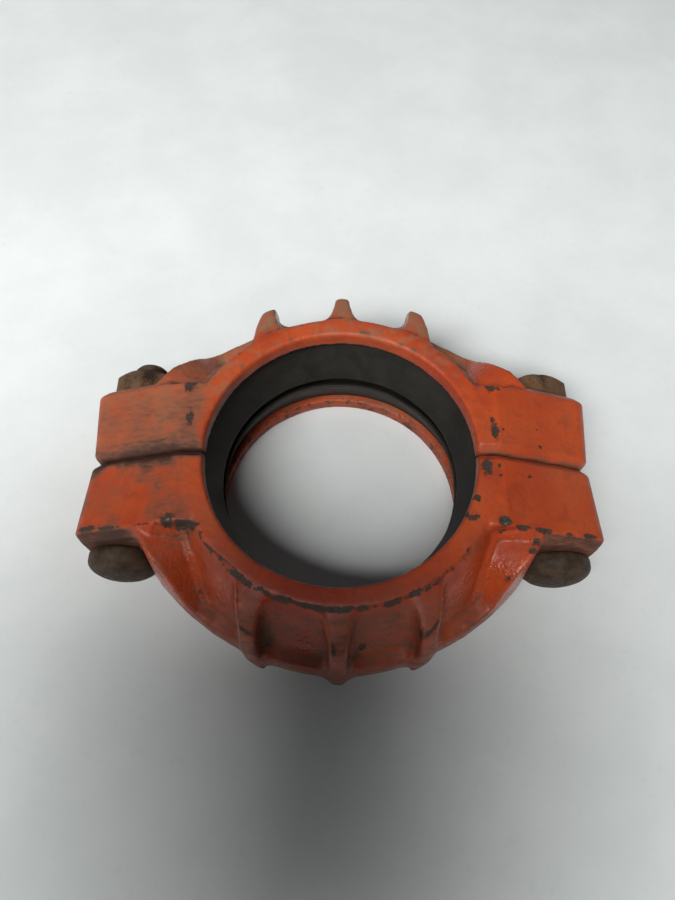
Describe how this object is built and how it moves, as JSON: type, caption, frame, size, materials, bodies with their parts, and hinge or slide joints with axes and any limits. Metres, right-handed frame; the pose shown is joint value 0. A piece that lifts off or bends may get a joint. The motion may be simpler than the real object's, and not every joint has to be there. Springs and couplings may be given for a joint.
{
  "type": "pipe coupling",
  "caption": "Bolted pipe coupling in cast halves with inner keys that grip grooved pipe ends around a rubber C-section gasket.",
  "frame": {"origin": "on the pipe axis, at the coupling's mid-plane, where the two pipe ends meet", "axes": "+Z along the pipe axis; +X towards the right-hand bolt; +Y from the bolt heads to the nuts"},
  "size_m": [0.2156, 0.1708, 0.0668],
  "materials": {
    "housing_paint": "glossy orange-red enamel over cast iron, chipped and dirty",
    "gasket_rubber": "satin black moulded rubber",
    "fastener_steel": "dark olive-brown oxidised steel"
  },
  "bodies": {
    "front": {"housing_front": "housing_paint", "bolt_left": "fastener_steel", "bolt_right": "fastener_steel"},
    "back": {"housing_back": "housing_paint"},
    "gasket": {"gasket": "gasket_rubber"},
    "nut_left": {"nut_left": "fastener_steel"},
    "nut_right": {"nut_right": "fastener_steel"}
  },
  "joints": [
    {"name": "housing_spread", "type": "slide", "parent": "front", "child": "back", "axis": [0, 1, 0], "range_m": [0, 0.012]},
    {"name": "gasket_float", "type": "slide", "parent": "front", "child": "gasket", "axis": [0, 1, 0], "range_m": [0, 0.006]},
    {"name": "nut_left_turn", "type": "hinge", "parent": "back", "child": "nut_left", "pos_m": [-0.0905, 0.042, 0], "axis": [0, 1, 0], "range_deg": [0, 1872]},
    {"name": "nut_right_turn", "type": "hinge", "parent": "back", "child": "nut_right", "pos_m": [0.0905, 0.042, 0], "axis": [0, 1, 0], "range_deg": [0, 1872]}
  ],
  "couplings": [
    {"joint": "gasket_float", "follows": "housing_spread", "ratio": 0.5},
    {"joint": "nut_left_turn", "follows": "housing_spread", "rad_per_m": 2721.1},
    {"joint": "nut_right_turn", "follows": "housing_spread", "rad_per_m": 2721.1}
  ]
}
